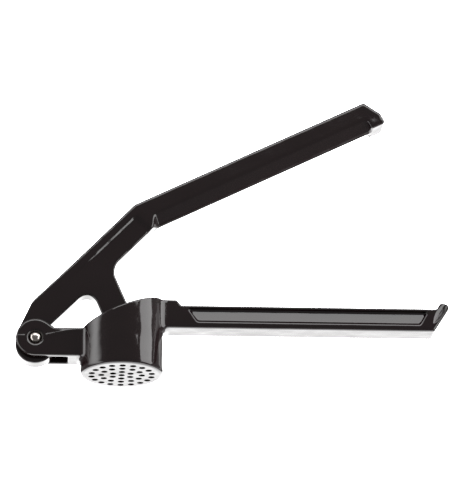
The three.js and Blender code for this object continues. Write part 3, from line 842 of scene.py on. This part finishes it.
class StudioLight(bpy.types.PropertyGroup):
    """Brightness of the studio."""
    table: FloatProperty(
        name="Table", description="Glow of the lit white table", default=4.0,
    )
    boxes: FloatProperty(
        name="Right softbox", description="Brightness of the right softbox", default=4.5,
    )
    back: FloatProperty(
        name="Back softbox", description="Brightness of the softbox behind", default=4.5,
    )
    glow: FloatProperty(
        name="Left glow", description="Brightness of the glow on the left", default=4.0,
    )
    streak: FloatProperty(
        name="Streak", description="Brightness of the streak on the right", default=0.8,
    )
    horizon: FloatProperty(
        name="Walls", description="Brightness of the dim walls", default=0.3,
    )
    ceiling: FloatProperty(
        name="Ceiling", description="Brightness of the dark ceiling", default=0.24,
    )
    table_colour: FloatVectorProperty(
        name="Table colour", description="Colour of the table", subtype="COLOR",
        default=(0.9, 0.9, 0.9),
    )


# ------------------------------------------------------------------ operators

class PRESS_OT_body(bpy.types.Operator):
    """Build the body casting: hopper, sieve, ears and lower handle"""
    bl_idname = "press.body"
    bl_label = "Body casting"

    def execute(self, context):
        scene = context.scene
        low = (HINGE[0] - EAR_RADIUS - 2, -2, -hopper_radius - 2)
        high = (LOWER_REACH + 3, NECK_TOP + 4, hopper_radius + 2)
        places, faces = surface_of(body_distance, low, high, scene.press_shape.mesh_step / MM)
        body = smooth_object("body_casting", places, faces, gloss_black_coating(scene.press_colours))
        radius = scene.press_shape.hole_radius / MM
        ring_step = (hopper_radius - HOPPER_WALL - HOLE_MARGIN) / HOLE_RINGS
        mouth = HOLE_FLARE
        above, below = FLOOR_THICKNESS + 1.2, -1
        flare = quarter_round(radius + mouth, mouth, mouth, 180, 270, 4)
        profile = [(0, above), (radius, above), *flare, (radius + mouth, below), (0, below)]
        holes = [(0.0, 0.0)]
        for ring in range(1, HOLE_RINGS + 1):
            for i in range(6 * ring):
                holes.append(heading(90 + i * 60 / ring) * ring * ring_step)
        tools = [
            turned("cutter", profile, HOLE_TURNS, None, (u, 0, w), (0, 1, 0)) for u, w in holes
        ]
        tools.append(through_hole(
            HINGE, PIN_RADIUS + RUNNING_GAP, EAR_HALF,
            [(DISH_RADIUS, DISH_DEPTH), (COUNTERSINK_RADIUS, DISH_DEPTH + COUNTERSINK_DEPTH)],
            PIN_TURNS,
        ))
        cut_away(body, tools)
        rides(body, "body", "press_body")
        return {"FINISHED"}


class PRESS_OT_lever(bpy.types.Operator):
    """Build the lever casting: boss, neck, plunger arm and upper handle"""
    bl_idname = "press.lever"
    bl_label = "Lever casting"

    def execute(self, context):
        scene = context.scene
        tip = handle_point(UPPER_LENGTH, 0)
        low = (HINGE[0] - BOSS_RADIUS - 4, HINGE[1] - BOSS_RADIUS - BOSS_DROP - 2, -HANDLE_HALF - 1)
        high = (tip[0] + 7, tip[1] + 3, HANDLE_HALF + 1)
        places, faces = surface_of(lever_distance, low, high, scene.press_shape.mesh_step / MM)
        lever = smooth_object("lever_casting", places, faces, gloss_black_coating(scene.press_colours))
        pin_hole = through_hole(
            HINGE, PIN_RADIUS + RUNNING_GAP, BOSS_HALF,
            [(PIN_RADIUS + HOLE_BEVEL, HOLE_BEVEL_DEPTH)], PIN_TURNS,
        )
        cut_away(lever, [pin_hole, swivel_hole(BOSS_HALF)])
        rides(lever, "lever", "press_lever")
        return {"FINISHED"}


class PRESS_OT_pins(bpy.types.Operator):
    """Build the domed hinge pin and the plunger's small pin"""
    bl_idname = "press.pins"
    bl_label = "Pins"

    def execute(self, context):
        steel = polished_steel(context.scene.press_colours)
        low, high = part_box("hinge_pin")
        half = (high.z - low.z) / 2 / MM
        ball = (PIN_RADIUS ** 2 + PIN_DOME ** 2) / (2 * PIN_DOME)
        spread = math.degrees(math.asin(PIN_RADIUS / ball))
        cap = quarter_round(0, half - ball, ball, 90 - spread, 90, 12)
        profile = [(r, -h) for r, h in reversed(cap)] + cap
        pin = turned("domed_hinge_pin", profile, PIN_TURNS, steel, (*HINGE, 0), (0, 0, 1))
        pin.data.set_sharp_from_angle(angle=math.radians(35))
        rides(pin, "body", "hinge_pin")

        low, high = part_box("plunger_pin")
        half = (high.z - low.z) / 2 / MM
        edge = SWIVEL_PIN_EDGE
        end = quarter_round(SWIVEL_PIN_RADIUS - edge, half - edge, edge, 0, 90, 5)
        profile = [(0, -half)] + [(r, -h) for r, h in reversed(end)] + end + [(0, half)]
        small = turned("plunger_swivel_pin", profile, 48, steel, (*SWIVEL, 0), (0, 0, 1))
        rides(small, "plunger", "plunger_pin")
        return {"FINISHED"}


class PRESS_OT_plunger(bpy.types.Operator):
    """Build the plunger: a thin disc with two lugs"""
    bl_idname = "press.plunger"
    bl_label = "Plunger"

    def execute(self, context):
        scene = context.scene
        reach = foot_radius + 1
        low = (-reach, -FOOT_DROP - 1, -reach)
        high = (reach, LUG_RADIUS + 1, reach)
        places, faces = surface_of(plunger_distance, low, high, scene.press_shape.mesh_step / MM)
        cos, sin = heading(FOOT_LEAN)
        leaned = places.copy()
        leaned[:, 0] = SWIVEL[0] + cos * places[:, 0] - sin * places[:, 1]
        leaned[:, 1] = SWIVEL[1] + sin * places[:, 0] + cos * places[:, 1]
        plunger = smooth_object("plunger_disc", leaned, faces, satin_steel(scene.press_colours))
        reach = SLOT_HALF + LUG_THICKNESS
        cut_away(plunger, [swivel_hole(reach)])
        rides(plunger, "plunger", "plunger_foot")
        return {"FINISHED"}


class PRESS_OT_stage(bpy.types.Operator):
    """Build the lit table, the softboxes, the walls and the camera"""
    bl_idname = "press.stage"
    bl_label = "Studio and camera"

    def execute(self, context):
        light = context.scene.press_light
        self.table(light)
        self.walls(context.scene, light)
        self.softbox("right_softbox", Vector((0.75, 0.12, 0.36)), (1.26, 0.62), light.boxes)
        self.softbox("back_softbox", Vector((0.1, 0.8, 0.72)), (1.6, 0.7), light.back)
        self.camera(context.scene)
        context.scene.view_settings.view_transform = "Standard"
        return {"FINISHED"}

    def table(self, light):
        material = bpy.data.materials.new("white_table")
        material.use_nodes = True
        shader = material.node_tree.nodes["Principled BSDF"]
        shader.inputs["Base Color"].default_value = (*light.table_colour, 1)
        shader.inputs["Roughness"].default_value = 0.9
        shader.inputs["Emission Color"].default_value = (1, 1, 1, 1)
        shader.inputs["Emission Strength"].default_value = light.table
        mesh = bpy.data.meshes.new("table")
        build = bmesh.new()
        bmesh.ops.create_grid(build, x_segments=1, y_segments=1, size=3)
        bmesh.ops.translate(build, verts=build.verts, vec=(0, 0, cad_box[0].z - 0.0003))
        build.to_mesh(mesh)
        build.free()
        mesh.materials.append(material)
        table = bpy.data.objects.new("table", mesh)
        table.visible_glossy = False
        bpy.context.scene.collection.objects.link(table)

    def walls(self, scene, light):
        """What the gloss mirrors: dim walls under a dark ceiling, a soft glow on the left, a streak on
        the right, and the white backdrop, which ends a little to each side of the press."""
        world = bpy.data.worlds.new("studio")
        world.use_nodes = True
        tree = world.node_tree
        tree.nodes.clear()
        way = add_node(tree, "ShaderNodeTexCoord").outputs["Generated"]
        split = add_node(tree, "ShaderNodeSeparateXYZ", links={"Vector": way})
        right, back, up = split.outputs["X"], split.outputs["Y"], split.outputs["Z"]

        def step(value, start, end, low, high):
            return add_node(
                tree, "ShaderNodeMapRange",
                {"interpolation_type": "SMOOTHSTEP", "From Min": start, "From Max": end,
                 "To Min": low, "To Max": high},
                {"Value": value},
            ).outputs[0]

        def combined(kind, a, b):
            return add_node(tree, "ShaderNodeMath", {"operation": kind}, {0: a, 1: b}).outputs[0]

        below = step(up, -0.1, 0, 1, 0)
        backdrop = combined(
            "MULTIPLY", step(right, -0.45, -0.35, 0, light.table), step(right, 0.45, 0.55, 1, 0)
        )
        backdrop = combined("MULTIPLY", backdrop, step(back, 0.4, 0.55, 1, 0))
        streak = combined(
            "MULTIPLY", step(right, 0.62, 0.68, 0, light.streak), step(right, 0.76, 0.8, 1, 0)
        )
        ground = combined("MULTIPLY", below, combined("ADD", backdrop, streak))
        glow = combined("MULTIPLY", step(up, -0.35, 0.15, 0, light.glow), step(up, 0.2, 0.5, 1, 0))
        glow = combined("MULTIPLY", glow, step(right, -0.8, -0.6, 1, 0))
        walls = step(up, 0.5, 0.8, light.horizon, light.ceiling)
        total = combined("ADD", combined("ADD", ground, glow), walls)
        background = add_node(tree, "ShaderNodeBackground", links={"Strength": total})
        add_node(tree, "ShaderNodeOutputWorld", links={"Surface": background.outputs[0]})
        background.inputs["Color"].default_value = (1, 1, 1, 1)
        scene.world = world

    def softbox(self, name, place, size, brightness):
        data = bpy.data.lights.new(name, "AREA")
        data.shape = "RECTANGLE"
        data.size, data.size_y = size
        data.energy = brightness * size[0] * size[1] * math.pi
        box = bpy.data.objects.new(name, data)
        box.location = place
        aim = Vector((-place.x, 0, 0)) if abs(place.x) > place.y else -place
        box.rotation_euler = aim.to_track_quat("-Z", "Y").to_euler()
        bpy.context.scene.collection.objects.link(box)

    def camera(self, scene):
        """The view along the press from the sieve's side, looking down on the table."""
        turn, rise, roll = CAMERA_TURN, CAMERA_RISE, CAMERA_ROLL
        ahead = Vector((
            math.sin(turn) * math.cos(rise), math.sin(rise), -math.cos(turn) * math.cos(rise)
        ))
        level = Vector((math.cos(turn), 0, math.sin(turn)))
        raised = level.cross(ahead)
        right = math.cos(roll) * level + math.sin(roll) * raised
        up = -math.sin(roll) * level + math.cos(roll) * raised
        data = bpy.data.cameras.new("camera")
        data.lens = CAMERA_LENS
        data.clip_start, data.clip_end = 0.1, 20
        camera = bpy.data.objects.new("camera", data)
        target = press_origin + Vector((*CAMERA_TARGET, 0))
        turn_matrix = Matrix((right, up, -ahead)).transposed().to_4x4()
        camera.matrix_world = Matrix.Translation(target - ahead * CAMERA_DISTANCE) @ turn_matrix
        scene.collection.objects.link(camera)
        scene.camera = camera


class PRESS_PT_sidebar(bpy.types.Panel):
    """Lists the garlic press's pieces"""
    bl_idname = "PRESS_PT_sidebar"
    bl_label = "Garlic Press"
    bl_space_type = "VIEW_3D"
    bl_region_type = "UI"
    bl_category = "Garlic Press"

    def draw(self, context):
        for name, kind in GROUPS.items():
            box = self.layout.box()
            for key in kind.__annotations__:
                box.prop(getattr(context.scene, name), key)
        for operator in OPERATORS:
            self.layout.operator(operator.bl_idname)


GROUPS = {"press_shape": PressShape, "press_colours": PressColours, "press_light": StudioLight}
OPERATORS = (PRESS_OT_body, PRESS_OT_lever, PRESS_OT_pins, PRESS_OT_plunger, PRESS_OT_stage)


def register():
    for name, group in GROUPS.items():
        bpy.utils.register_class(group)
        setattr(bpy.types.Scene, name, PointerProperty(type=group))
    for kind in (*OPERATORS, PRESS_PT_sidebar):
        bpy.utils.register_class(kind)


def unregister():
    for kind in (*OPERATORS, PRESS_PT_sidebar):
        bpy.utils.unregister_class(kind)
    for name, group in GROUPS.items():
        delattr(bpy.types.Scene, name)
        bpy.utils.unregister_class(group)


def main():
    register()
    bpy.ops.press.body()
    bpy.ops.press.lever()
    bpy.ops.press.pins()
    bpy.ops.press.plunger()
    bpy.ops.press.stage()


if __name__ == "__main__":
    main()
